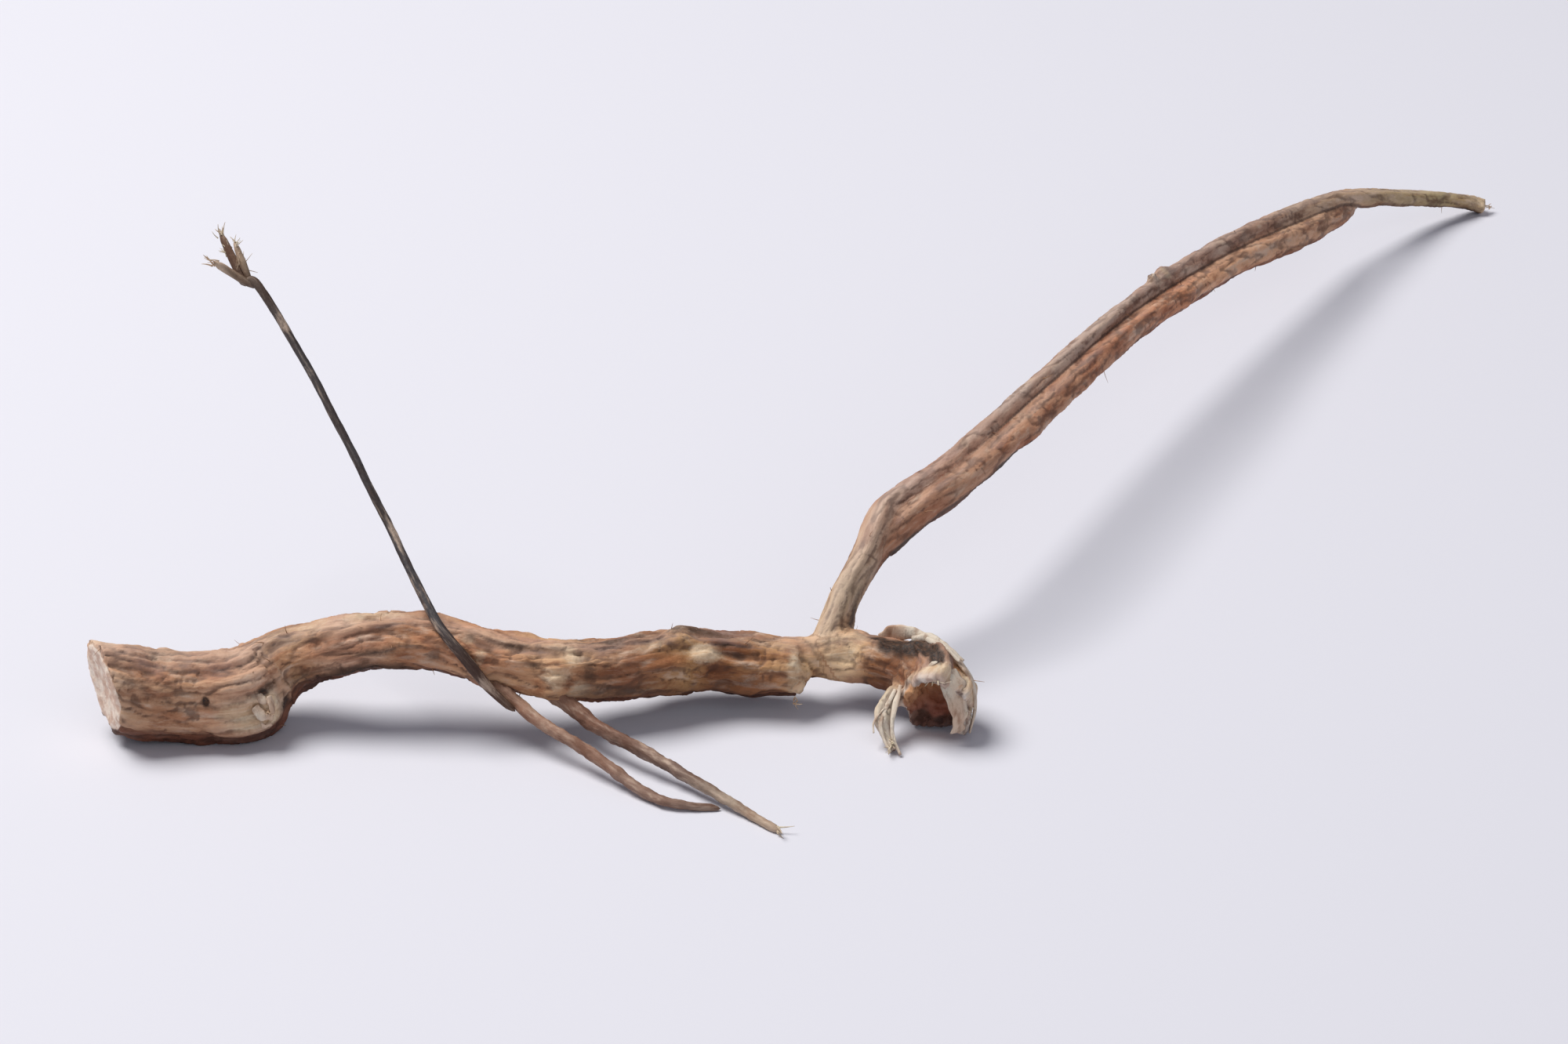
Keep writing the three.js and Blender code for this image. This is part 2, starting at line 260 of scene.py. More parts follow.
lowerStrand = {
    "route": [
        (1.2, -49.3, 9.8, 1.2), (3.9, -44.1, 13.2, 1.52), (5.6, -42.3, 14.5, 1.7),
        (9.1, -38.2, 16.1, 1.82), (13.9, -32.1, 17.1, 1.82), (21.5, -16.0, 17.1, 1.76),
        (32.7, 10.7, 15.9, 1.73), (44.9, 36.0, 13.1, 1.7), (51.3, 47.5, 11.2, 1.69),
        (58.1, 59.7, 9.1, 1.53), (62.5, 68.6, 7.8, 1.09),
    ],
    "start": "round", "end": "round",
    "lobe": 0.08, "wrinkle": 0.06, "folds": 4,
    "lumps": [(38, 120, 0.4, 2.2, 60), (84, 80, 0.4, 2.0, 60)],
    "tones": [
        (0, (200, 164, 132)), (10, (190, 144, 114)), (28, (190, 142, 112)), (58, (196, 144, 112)),
        (93, (222, 168, 130)), (135, (204, 162, 130)),
    ],
    "pale": [],
    # these dark spots, low on the right side, are painted shade
    "dark": [
        (8, 128, 12, 30, 0.7), (30, 128, 16, 28, 0.66), (60, 125, 30, 30, 0.4), (104, 125, 30, 30, 0.34),
    ],
    "ruggedness": 0.45,
}
stub = {  # what the broken pegs and splinters share
    "start": "round", "end": "sawn",
    "lobe": 0.05, "wrinkle": 0.0, "folds": 3,
    "lumps": [], "pale": [], "dark": [],
    "ruggedness": 0.4,
}
stubs = [
    {**stub, "route": [(-63.8, -61.4, 4.8, 1.8), (-62.7, -63.8, 4.9, 1.6), (-62.1, -65.0, 4.4, 1.1)],
     "tones": [(0, (196, 158, 128)), (1.2, (214, 194, 164)), (2.6, (232, 222, 198))],
     # its dark spot, under the peg, is painted shade
     "pale": [(3.0, 0, 2.2, 400, 0.55), (4.4, 90, 1.0, 400, 0.8)], "dark": [(1.4, 200, 1.2, 50, 0.6)]},
    {**stub, "route": [(-3.2, -55.6, 6.0, 1.2), (-3.7, -57.2, 4.6, 1.05), (-4.5, -57.9, 3.0, 0.75)],
     "tones": [(0, (226, 204, 166)), (1.6, (240, 228, 198))]},
    {**stub,
     "route": [
         (7.4, -59.3, 4.6, 1.5), (5.6, -62.8, 3.4, 1.05), (6.0, -64.2, 1.4, 0.75), (6.8, -66.3, 0.35, 0.46),
     ],
     "tones": [(0, (178, 140, 108)), (2.4, (214, 196, 166)), (7, (224, 214, 198))], "ruggedness": 1.1},
    {**stub, "route": [(14.0, -60.7, 5.2, 1.0), (14.6, -62.4, 3.0, 0.9), (14.0, -62.9, 0.5, 0.7)],
     "tones": [(0, (216, 200, 176)), (5, (208, 196, 180))]},
    {**stub, "route": [(36.0, 21.3, 16.8, 0.9), (35.6, 21.6, 19.1, 0.65)],
     "tones": [(0, (180, 150, 124)), (2, (224, 206, 184))]},
]

endings = {  # pairs of share of the radius and millimetres in from the end
    "sawn": [(0, 0.5), (0.4, 0.35), (0.8, 0), (1, 0.25)],
    "snapped": [(0, 1.4), (0.45, 0.9), (0.85, 0), (1, 0.4)],
    "hollow": [(0, 4.2), (0.45, 3.8), (0.68, 1.6), (0.85, 0), (1, 0.5)],
    "round": [(0, 0), (0.6, 0.3), (1, 1)],
}


def smoothLine(points, perSpan=40):
    # an even Catmull-Rom curve through the points
    points = np.asarray(points, float)
    framed = np.vstack([2 * points[0] - points[1], points, 2 * points[-1] - points[-2]])
    t = np.linspace(0, 1, perSpan, endpoint=False)[:, None]
    spans = []
    for before, here, there, after in zip(framed, framed[1:], framed[2:], framed[3:]):
        leave, arrive = (there - before) / 2, (after - here) / 2
        spans.append(
            (2 * t**3 - 3 * t**2 + 1) * here + (t**3 - 2 * t**2 + t) * leave
            + (3 * t**2 - 2 * t**3) * there + (t**3 - t**2) * arrive
        )
    return np.vstack(spans + [points[-1:]])


def centreLine(route, step=0.25):
    # evenly spaced stations: place, radius, distance, and the directions along, sideways and up
    line = smoothLine(route)
    gone = np.concatenate([[0], np.cumsum(np.linalg.norm(np.diff(line[:, :3], axis=0), axis=1))])
    distance = np.linspace(0, gone[-1], max(4, int(round(gone[-1] / step)) + 1))
    place = np.column_stack([np.interp(distance, gone, line[:, axis]) for axis in range(3)])
    along = np.gradient(place, axis=0)
    along /= np.linalg.norm(along, axis=1)[:, None]
    side = np.cross(along, (0, 0, 1))
    side /= np.linalg.norm(side, axis=1)[:, None]
    return {
        "place": place, "radius": np.interp(distance, gone, line[:, 3]), "distance": distance,
        "along": along, "side": side, "top": np.cross(side, along),
    }


def stationAt(line, distance):
    # a limb's station at any distances, read off between its even stations
    steps = np.clip(distance, 0, line["distance"][-1]) / line["distance"][1]
    low = np.minimum(steps.astype(int), len(line["distance"]) - 2)
    part = (steps - low)[..., None]
    mix = lambda values: values[low] * (1 - part) + values[low + 1] * part
    place, along, side, top = (mix(line[name]) for name in ("place", "along", "side", "top"))
    return place, mix(line["radius"][:, None])[..., 0], along, side, top


growth = {  # millimetres along a limb in which each wave turns by a radian
    "twoLobes": 17, "threeLobes": 9,
    "longWander": 6.5, "shortWander": 2.9,
    "longKnots": 3.7, "shortKnots": 1.9,
}


def spread(distance, angle, where, degrees, length, width):
    # 1 at one place on a limb, falling to 0 around it
    turn = (angle - math.radians(degrees) + math.pi) % (2 * math.pi) - math.pi
    return np.exp(-((turn / math.radians(width)) ** 2 + ((distance - where) / length) ** 2))


def barkRelief(limb, radius, distance, angle):
    # the lobes, folds and lumps that the solid part has too
    folds = limb["folds"]
    oval = np.cos(2 * angle + distance / growth["twoLobes"])
    oval = oval + 0.7 * np.cos(3 * angle - distance / growth["threeLobes"])
    wander = 1.4 * np.sin(distance / growth["longWander"]) + 0.6 * np.sin(distance / growth["shortWander"])
    crests = np.sin(folds * angle + wander) + 0.6 * np.sin((folds + 4) * angle - 1.7 * wander)
    knots = np.sin(distance / growth["shortKnots"] + 2 * np.sin(angle))
    knots = knots * np.sin(2 * angle + distance / growth["longKnots"])
    relief = limb["lobe"] * radius * oval + limb["wrinkle"] * (crests + 0.8 * knots)
    for where, degrees, height, length, width in limb["lumps"]:
        relief = relief + height * spread(distance, angle, where, degrees, length, width)
    return relief


def tubeFaces(rings, sides):
    # four-sided faces from ring to ring, and a fan at each end round the two tips that come last
    faces = []
    for ring in range(rings - 1):
        low, high = ring * sides, (ring + 1) * sides
        for turn in range(sides):
            after = (turn + 1) % sides
            faces.append((low + turn, low + after, high + after, high + turn))
    first, last = rings * sides, rings * sides + 1
    end = (rings - 1) * sides
    for turn in range(sides):
        after = (turn + 1) % sides
        faces.append((first, after, turn))
        faces.append((last, end + turn, end + after))
    return faces


def limbSurface(limb, spacing, sides):
    line = centreLine(limb["route"])
    length = line["distance"][-1]
    near, far = endings[limb["start"]], endings[limb["end"]]
    shaft = length - near[-1][1] - far[-1][1]
    rings = max(2, int(round(shaft / spacing)))
    middle = [(1, near[-1][1] + shaft * ring / rings) for ring in range(1, rings)]
    profile = np.array(near[1:] + middle + [(share, length - inset) for share, inset in far[:0:-1]])
    share, distance = profile[:, :1], profile[:, 1:]
    angle = np.linspace(0, 2 * math.pi, sides, endpoint=False)[None, :]
    shift = np.zeros((len(profile), sides))
    if "slant" in limb:
        towards, rise, reach = limb["slant"]
        plain = stationAt(line, distance[:, 0])[1][:, None]
        fade = np.clip(1 - distance / reach, 0, 1)
        shift = rise * share * plain * fade * np.cos(angle - math.radians(towards))
    place, radius, along, side, top = stationAt(line, distance + shift)
    relief = barkRelief(limb, radius, distance, angle)
    reach = (share * (radius + relief))[..., None]
    beyond = np.minimum(0, distance + shift)[..., None]
    rims = place + along * beyond + reach * (top * np.cos(angle)[..., None] + side * np.sin(angle)[..., None])
    tips = stationAt(line, np.array([near[0][1], length - far[0][1]]))[0]
    return np.vstack([rims.reshape(-1, 3), tips]), tubeFaces(len(profile), sides)


def meshOf(name, points, faces):
    mesh = bpy.data.meshes.new(name)
    mesh.from_pydata(np.asarray(points).tolist(), [], faces)
    mesh.update()
    return mesh


def placed(name, mesh, finish):
    piece = bpy.data.objects.new(name, mesh)
    bpy.context.collection.objects.link(piece)
    mesh.materials.clear()
    mesh.materials.append(finish)
    mesh.shade_smooth()
    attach(piece, "root")
    return piece


def joined(parts):
    points, faces, start = [], [], 0
    for somePoints, someFaces in parts:
        points.append(somePoints)
        faces += [tuple(corner + start for corner in face) for face in someFaces]
        start += len(somePoints)
    return np.vstack(points), faces


def grownTogether(parts, voxel):
    # the limbs as one skin, in millimetres
    points, faces = joined(parts)
    mesh = meshOf("grown", points, faces)
    holder = bpy.data.objects.new("grown", mesh)
    bpy.context.collection.objects.link(holder)
    remesh = holder.modifiers.new("skin", "REMESH")
    remesh.mode = "VOXEL"
    remesh.voxel_size = voxel
    graph = bpy.context.evaluated_depsgraph_get()
    skin = bpy.data.meshes.new_from_object(holder.evaluated_get(graph))
    bpy.data.objects.remove(holder)
    bpy.data.meshes.remove(mesh)
    return skin


def meshPoints(mesh):
    flat = np.empty(len(mesh.vertices) * 3, np.float32)
    mesh.vertices.foreach_get("co", flat)
    return flat.reshape(-1, 3).astype(float)


def meshNormals(mesh):
    mesh.update()
    flat = np.empty(len(mesh.vertices) * 3, np.float32)
    mesh.vertices.foreach_get("normal", flat)
    return flat.reshape(-1, 3).astype(float)


def setPoints(mesh, points):
    mesh.vertices.foreach_set("co", points.astype(np.float32).ravel())
    mesh.update()


def meshEdges(mesh):
    flat = np.empty(len(mesh.edges) * 2, np.int32)
    mesh.edges.foreach_get("vertices", flat)
    return flat.reshape(-1, 2)


def relaxed(points, edges, weight, rounds):
    # moves each point towards the middle of its neighbours, as far as its weight says
    count = np.bincount(edges.ravel(), minlength=len(points))[:, None]
    for _ in range(rounds):
        total = np.zeros_like(points)
        for axis in range(points.shape[1]):
            total[:, axis] = np.bincount(edges[:, 0], points[edges[:, 1], axis], len(points))
            total[:, axis] += np.bincount(edges[:, 1], points[edges[:, 0], axis], len(points))
        points = points + (total / np.maximum(count, 1) - points) * weight[:, None]
    return points


def noise(points, seed=0):
    # smooth gradient noise, about -0.7 to 0.7; the long numbers only scramble each corner's place
    cell = np.floor(points).astype(np.int64)
    local = points - cell
    fade = local**3 * (local * (local * 6 - 15) + 10)
    total = np.zeros(len(points))
    for corner in range(8):
        offset = np.array([corner & 1, corner >> 1 & 1, corner >> 2 & 1])
        at = cell + offset
        mixed = (at[:, 0] * 73856093) ^ (at[:, 1] * 19349663) ^ (at[:, 2] * 83492791) ^ (seed * 40503 + 977)
        mixed = (mixed & 0xFFFFFFFF) * 2246822519 & 0xFFFFFFFF
        mixed = (mixed ^ (mixed >> 15)) * 3266489917 & 0xFFFFFFFF
        turn = (mixed & 0xFFFF) / 65536 * 2 * math.pi
        lift = (mixed >> 16) / 32768 - 1
        flat = np.sqrt(np.maximum(0, 1 - lift**2))
        gradient = np.column_stack([flat * np.cos(turn), flat * np.sin(turn), lift])
        weight = np.prod(np.where(offset == 1, fade, 1 - fade), axis=1)
        total += weight * np.einsum("ij,ij->i", gradient, local - offset)
    return total


def layered(points, layers, seed=0, fall=0.5):
    total, size = np.zeros(len(points)), 1.0
    for layer in range(layers):
        total += size * noise(points * 2.0**layer, seed + layer)
        size *= fall
    return total


def ridged(points, seed=0, sharpness=3.2):
    # 1 along thin crest lines, falling to 0 away from them
    return np.clip(1 - np.abs(noise(points, seed)) * sharpness, 0, 1)


def ease(low, high, value):
    share = np.clip((value - low) / (high - low), 0, 1)
    return share * share * (3 - 2 * share)


# Where each point of the skin lies on its limbs

readStep = 0.4  # millimetres between the stations that points are read against
blockSize = 20000  # points read at a time


def limbCoordinates(points, limb):
    # gap to the limb, distance along it, angle and distance out from its middle, and its radius there
    line = centreLine(limb["route"], readStep)
    gap = np.zeros(len(points))
    nearest = np.zeros(len(points), int)
    for first in range(0, len(points), blockSize):
        block = slice(first, first + blockSize)
        away = np.sqrt(((points[block, None, :] - line["place"][None]) ** 2).sum(2)) - line["radius"][None]
        nearest[block] = away.argmin(1)
        gap[block] = away.min(1)
    offset = points - line["place"][nearest]
    along = line["distance"][nearest] + np.einsum("ij,ij->i", offset, line["along"][nearest])
    up = np.einsum("ij,ij->i", offset, line["top"][nearest])
    out = np.einsum("ij,ij->i", offset, line["side"][nearest])
    return gap, along, np.arctan2(out, up), np.hypot(out, up), line["radius"][nearest]


def toneAlong(limb, distance):
    stops = [stop for stop, _ in limb["tones"]]
    colours = np.array([srgb(*colour)[:3] for _, colour in limb["tones"]])
    return np.column_stack([np.interp(distance, stops, colours[:, channel]) for channel in range(3)])


bark = {
    "spacing": 0.34,  # millimetres between the points of a limb, before the limbs grow together
    "voxel": 0.28,  # millimetres between the skin's points
    "quickVoxel": 0.45,
    # depths in millimetres, and how close each lies along the grain and across it
    "furrow": 0.26, "furrowGrain": (0.13, 0.75, 0.75),  # the long wrinkles
    "crease": 0.13, "creaseGrain": (0.42, 1.7, 1.7),
    "crack": 0.22, "crackGrain": (0.85, 0.32, 0.32),  # short, and across the limb
    "swell": 0.32, "swellGrain": (0.26, 0.42, 0.42),
    "grit": 0.05, "gritGrain": (1.6, 2.4, 2.4),
    "bendGrain": (0.2, 0.3, 0.3), "bend": (0.0, 0.8, 0.8),  # how far the wrinkles stray
    "lift": 0.03,  # makes up for what the wrinkles take away
    "paleLift": 0.15, "darkDip": 0.3, "strandDip": 0.12,
    "apart": 37.3,  # keeps the grain of one limb from carrying on into the next
}


def barkDetail(grain, rugged):
    # fine relief in millimetres and how deep in a wrinkle each point is, from the limb's own coordinates
    bend = layered(grain * bark["bendGrain"], 2, 5)[:, None] * bark["bend"]
    furrows = -ridged(grain * bark["furrowGrain"] + bend, 21) ** 2
    creases = -ridged(grain * bark["creaseGrain"] + 2 * bend, 31) ** 2
    here = ease(0.02, 0.3, noise(grain * 0.33, 47))  # cracks come in patches
    cracks = -ridged(grain * bark["crackGrain"] + bend, 41) ** 6 * here
    swells = layered(grain * bark["swellGrain"], 3, 51)
    grit = layered(grain * bark["gritGrain"], 2, 61)
    relief = bark["furrow"] * furrows + bark["crease"] * creases
    relief = relief + bark["crack"] * cracks + bark["swell"] * swells
    return rugged * (relief + bark["lift"]) + bark["grit"] * grit, furrows + 0.6 * creases + cracks


def addFloat(mesh, name, values):
    layer = mesh.attributes.new(name, "FLOAT", "POINT")
    layer.data.foreach_set("value", values.astype(np.float32))


def addVector(mesh, name, values):
    layer = mesh.attributes.new(name, "FLOAT_VECTOR", "POINT")
    layer.data.foreach_set("vector", values.astype(np.float32).ravel())


def dressed(mesh, grain, tone, **shares):
    # what the bark's finish reads from each point; the shares that a mesh doesn't have are 0
    addVector(mesh, "grain", grain)
    addVector(mesh, "tone", tone)
    for name in ("groove", "under", "line", "pale", "dark", "bare", "mouth"):
        addFloat(mesh, name, shares.get(name, np.zeros(len(grain))))


def spotStrength(spots, distance, angle):
    strength = np.zeros(len(distance))
    for where, degrees, length, width, amount in spots:
        strength = np.maximum(strength, amount * spread(distance, angle, where, degrees, length, width))
    return strength


meeting = {  # millimetres, where limbs meet
    "seam": (0.3, 1.3),  # smoothed where one limb is nearer than the next by less than this
    "rounds": 14,  # of smoothing
    "share": 0.35,  # how far one limb's bark runs into the next one's
    "paintedStrandShade": 0.34,  # half the width of the painted shade line between the side root's two strands
    "strandDepth": (0.5, 1.4),
    "strandStart": (24, 46),  # distance along the side root in which the line comes in
}
tornFaces = {
    "sawnReach": 4.5,  # millimetres from the limb's end in which a face can be the sawn or torn one
    "tipReach": 1.5,
    "snappedReach": 2.6,
    "snappedHeights": (3.8, 5.4),  # the break is painted dark below the first, as shade under the neck, and is bark above the second
    "snappedPaintedShade": 0.7,
    "rim": (0.86, 0.97),  # share of the radius in which the sawn face turns into bark
    "cutLumps": 0.10, "cutGrooves": 0.12,
    "mouthLumps": 0.45, "mouthGrooves": 0.3,
    "mouthShift": (0.35, 0, -0.3),  # moves the mouth off the knob's middle
    "mouthRim": (0.7, 0.88),  # share of the radius in which the mouth turns into its lip
    "mouthFloor": (-4.6, -4.0), "mouthLip": (0.4, 1.0),  # millimetres along from the knob's end
}


def dressSkin(skin, limbs):
    points = meshPoints(skin)
    edges = meshEdges(skin)
    read = [limbCoordinates(points, limb) for limb in limbs]
    gaps = np.stack([one[0] for one in read])
    nearest = np.sort(gaps, axis=0)
    seam = 1 - ease(*meeting["seam"], nearest[1] - nearest[0])
    strands = gaps[3], gaps[4]
    groove = np.exp(-(((strands[0] - strands[1]) / meeting["paintedStrandShade"]) ** 2))
    groove = groove * (1 - ease(*meeting["strandDepth"], np.maximum(*strands)))
    groove *= ease(*meeting["strandStart"], read[3][1])
    points = relaxed(points, edges, 0.5 * seam * (1 - 0.45 * groove), meeting["rounds"])
    setPoints(skin, points)
    normals = meshNormals(skin)

    share = np.exp(-np.maximum(0, gaps - nearest[0]) / meeting["share"])
    share /= share.sum(0)
    relief, furrow, under, pale, dark = np.zeros((5, len(points)))
    tone, grainOut = np.zeros((2, len(points), 3))
    for index, (limb, (_, distance, angle, out, _)) in enumerate(zip(limbs, read)):
        near = share[index] > 0.01
        if not near.any():
            continue
        along = distance + bark["apart"] * index
        grain = np.column_stack([along, out * np.cos(angle), out * np.sin(angle)])
        detail, furrows = barkDetail(grain[near], limb["ruggedness"])
        weight = share[index][near]
        relief[near] += weight * detail
        furrow[near] += weight * furrows
        pale[near] += weight * spotStrength(limb["pale"], distance[near], angle[near])
        dark[near] += weight * spotStrength(limb["dark"], distance[near], angle[near])
        tone[near] += weight[:, None] * toneAlong(limb, distance[near])
        # how far round to the underside each point lies, for the painted shade underneath and the painted
        # highlight on top
        under[near] -= weight * np.cos(angle[near])
        best = near.copy()
        best[near] = weight > 0.5
        grainOut[best] = grain[best]

    # torn and sawn faces, told by where they point and how near the limb's end they are
    rim = ease(*tornFaces["rim"], read[0][3] / read[0][4])
    sawn = facing(points, normals, mainRoot, 0, tornFaces["sawnReach"]) * (1 - 0.8 * rim)
    mouth = hollowOf(points, knob)
    tip = facing(points, normals, sideRoot, -1, tornFaces["tipReach"])
    bare = np.clip(sawn + tip, 0, 1)
    # painted shade on the low part of the snapped end, under the neck
    snapped = share[0] * facing(points, normals, mainRoot, -1, tornFaces["snappedReach"])
    snapped = snapped * (1 - ease(*tornFaces["snappedHeights"], points[:, 2]))
    dark = np.maximum(dark, tornFaces["snappedPaintedShade"] * snapped)
    cutDetail = tornFaces["cutLumps"] * layered(points * 1.6, 3, 71)
    cutDetail = cutDetail - tornFaces["cutGrooves"] * ridged(points * (1.1, 1.3, 1.3), 75) ** 4
    mouthDetail = tornFaces["mouthLumps"] * layered(points * (1.3, 0.7, 1.3), 3, 81)
    mouthDetail = mouthDetail - tornFaces["mouthGrooves"] * ridged(points * (1.4, 0.6, 1.4), 85) ** 2
    torn = np.clip(bare + mouth, 0, 1)
    relief = relief * (1 - torn) + cutDetail * bare + mouthDetail * mouth
    relief = relief + bark["paleLift"] * pale * (1 - torn) - bark["darkDip"] * dark * (1 - torn)
    relief = relief - bark["strandDip"] * groove
    points = points + normals * relief[:, None]
    points[:, 2] = np.maximum(points[:, 2], lowest["bark"])
    setPoints(skin, points * mm)
    dressed(
        skin, grainOut, tone,
        groove=furrow, under=under, line=groove, pale=pale, dark=dark, bare=bare, mouth=mouth,
    )


def facing(points, normals, limb, end, reach):
    # 1 on the face at a limb's end, 0 on its sides
    line = centreLine(limb["route"])
    place, along, radius = line["place"][end], line["along"][end], line["radius"][end]
    outward = -along if end == 0 else along
    offset = points - place
    near = 1 - ease(reach * 0.7, reach, np.abs(offset @ along))
    inside = 1 - ease(radius * 1.15, radius * 1.3, np.linalg.norm(offset, axis=1))
    return ease(0.45, 0.7, normals @ outward) * near * inside


def hollowOf(points, limb):
    # 1 inside the torn mouth at a limb's end
    line = centreLine(limb["route"])
    place, along, radius = line["place"][-1], line["along"][-1], line["radius"][-1]
    offset = points - place
    depth = offset @ along
    out = np.linalg.norm(offset - depth[:, None] * along + tornFaces["mouthShift"], axis=1)
    within = 1 - ease(*tornFaces["mouthRim"], out / radius)
    return within * ease(*tornFaces["mouthFloor"], depth) * (1 - ease(*tornFaces["mouthLip"], depth))


# Finishes

def nodeMaker(finish):
    tree = finish.node_tree

    def make(kind, inputs=(), **settings):
        node = tree.nodes.new(kind)
        for key, value in settings.items():
            setattr(node, key, value)
        for key, value in dict(inputs).items():
            if isinstance(value, bpy.types.NodeSocket):
                tree.links.new(value, node.inputs[key])
            else:
                node.inputs[key].default_value = value
        return node
    return make


barkColours = {
    "ruddy": srgb(232, 204, 188),  # multiplied in, like the two shades below
    "patchShade": srgb(188, 160, 144),
    "paintedUndersideShade": srgb(146, 108, 98),
    "palePatch": srgb(212, 186, 164),
    "paleStreak": srgb(220, 196, 174),
    "darkStreak": srgb(104, 74, 56),
    "speck": srgb(88, 60, 46),
    # painted shade in the wrinkles
    "groove": srgb(84, 56, 42),
    "paintedUndersideShadow": srgb(58, 38, 34),
    "paintedTopHighlight": srgb(226, 208, 198),
    "paleWoodAndPaintedHighlight": (srgb(206, 172, 136), srgb(228, 206, 176)),
    "darkSkinAndPaintedShade": (srgb(44, 30, 22), srgb(84, 56, 38)),
    "paintedStrandShade": srgb(74, 50, 38),
    "cutWood": (srgb(214, 180, 158), srgb(246, 228, 210)),
    "mouthWoodAndPaintedShade": (srgb(164, 106, 88), srgb(208, 156, 112)),
    "mouthShadeHeights": (0.0018, 0.006),  # metres up, from the first colour of the mouth's wood to the second; darker low down as painted shade in the hollow
    "rotStreak": srgb(84, 50, 34),
    "shine": 0.45,
    "fineBump": 0.5,
    "fineBumpHeight": 0.0003,
}


def barkFinish():
    finish = bpy.data.materials.new("dried bark")
    finish.use_nodes = True
    make = nodeMaker(finish)
    shader = finish.node_tree.nodes["Principled BSDF"]

    def read(name, output="Fac"):
        return make("ShaderNodeAttribute", attribute_name=name).outputs[output]

    def blend(factor, first, second, mode="MIX"):
        node = make("ShaderNodeMix", data_type="RGBA", blend_type=mode)
        for socket, value in ((node.inputs[0], factor), (node.inputs[6], first), (node.inputs[7], second)):
            if isinstance(value, bpy.types.NodeSocket):
                finish.node_tree.links.new(value, socket)
            else:
                socket.default_value = value
        return node.outputs[2]

    def sums(operation, first, second=0.0, third=0.0):
        return make("ShaderNodeMath", {0: first, 1: second, 2: third}, operation=operation).outputs[0]

    def ramp(value, low, high, bottom=0.0, top=1.0):
        inputs = {"Value": value, "From Min": low, "From Max": high, "To Min": bottom, "To Max": top}
        return make("ShaderNodeMapRange", inputs, interpolation_type="SMOOTHSTEP").outputs[0]

    def scaled(vector, scale):
        return make("ShaderNodeVectorMath", {0: vector, 1: scale}, operation="MULTIPLY").outputs[0]

    def stretched(along):
        return scaled(read("grain", "Vector"), (along, 1, 1))

    def shaded(factor, under, shade):
        return blend(factor, under, blend(1.0, under, shade, "MULTIPLY"))

    def cloud(vector, scale, detail=4.0, roughness=0.55):
        inputs = {"Vector": vector, "Scale": scale, "Detail": detail, "Roughness": roughness}
        return make("ShaderNodeTexNoise", inputs).outputs["Fac"]

    # clouds of colour, stretched along the limb
    patches = cloud(stretched(0.35), 0.62, 5.0, 0.62)
    streaks = cloud(stretched(0.16), 1.7, 4.0, 0.6)
    specks = cloud(stretched(0.8), 3.4, 3.0, 0.6)
    ruddy = cloud(stretched(0.3), 0.27, 2.0, 0.5)

    # dried bark
    colour = shaded(ramp(ruddy, 0.40, 0.64, 0.0, 0.8), read("tone", "Vector"), barkColours["ruddy"])
    colour = shaded(ramp(patches, 0.52, 0.34, 0.0, 0.8), colour, barkColours["patchShade"])
    colour = blend(ramp(patches, 0.52, 0.70, 0.0, 0.62), colour, barkColours["palePatch"])
    colour = blend(ramp(streaks, 0.52, 0.74, 0.0, 0.3), colour, barkColours["paleStreak"])
    colour = blend(ramp(streaks, 0.46, 0.26, 0.0, 0.35), colour, barkColours["darkStreak"])
    colour = blend(ramp(specks, 0.60, 0.78, 0.0, 0.25), colour, barkColours["speck"])
    # painted shade in the wrinkles: darker the deeper a point lies in a furrow, crease or crack
    colour = blend(ramp(read("groove"), -0.4, -1.2, 0.0, 0.6), colour, barkColours["groove"])

    # painted shade underneath and a painted highlight on top
    turned = sums("ADD", read("under"), sums("MULTIPLY_ADD", patches, 0.8, -0.4))  # -1 on top, 1 underneath
    colour = shaded(ramp(turned, 0.2, 0.8, 0.0, 0.85), colour, barkColours["paintedUndersideShade"])
    colour = blend(ramp(turned, 0.8, 1.05, 0.0, 0.7), colour, barkColours["paintedUndersideShadow"])
    colour = blend(ramp(turned, -0.75, -1.05, 0.0, 0.2), colour, barkColours["paintedTopHighlight"])

    # scars and dark spots, with ragged edges; a few of the spots are painted highlight and painted shade
    ragged = sums("ADD", sums("MULTIPLY", patches, 0.5), sums("MULTIPLY", specks, 0.35))
    paleWoodAndPaintedHighlight = blend(ramp(streaks, 0.35, 0.65), *barkColours["paleWoodAndPaintedHighlight"])
    colour = blend(ramp(sums("ADD", read("pale"), ragged), 0.6, 1.1, 0.0, 0.92), colour, paleWoodAndPaintedHighlight)
    darkSkinAndPaintedShade = blend(ramp(specks, 0.4, 0.65), *barkColours["darkSkinAndPaintedShade"])
    colour = blend(ramp(sums("ADD", read("dark"), ragged), 0.62, 1.1), colour, darkSkinAndPaintedShade)
    # painted shade along the seam between the side root's two strands
    paintedStrandShade = ramp(sums("ADD", read("line"), ragged), 0.75, 1.4, 0.0, 0.7)
    colour = blend(paintedStrandShade, colour, barkColours["paintedStrandShade"])

    # the sawn ends and the inside of the torn knob
    place = make("ShaderNodeTexCoord").outputs["Object"]
    rays = cloud(scaled(place, (420, 900, 900)), 1.0)
    cutWood = blend(ramp(rays, 0.36, 0.64), *barkColours["cutWood"])
    colour = blend(ramp(read("bare"), 0.3, 0.7), colour, cutWood)
    height = make("ShaderNodeSeparateXYZ", {0: place}).outputs["Z"]
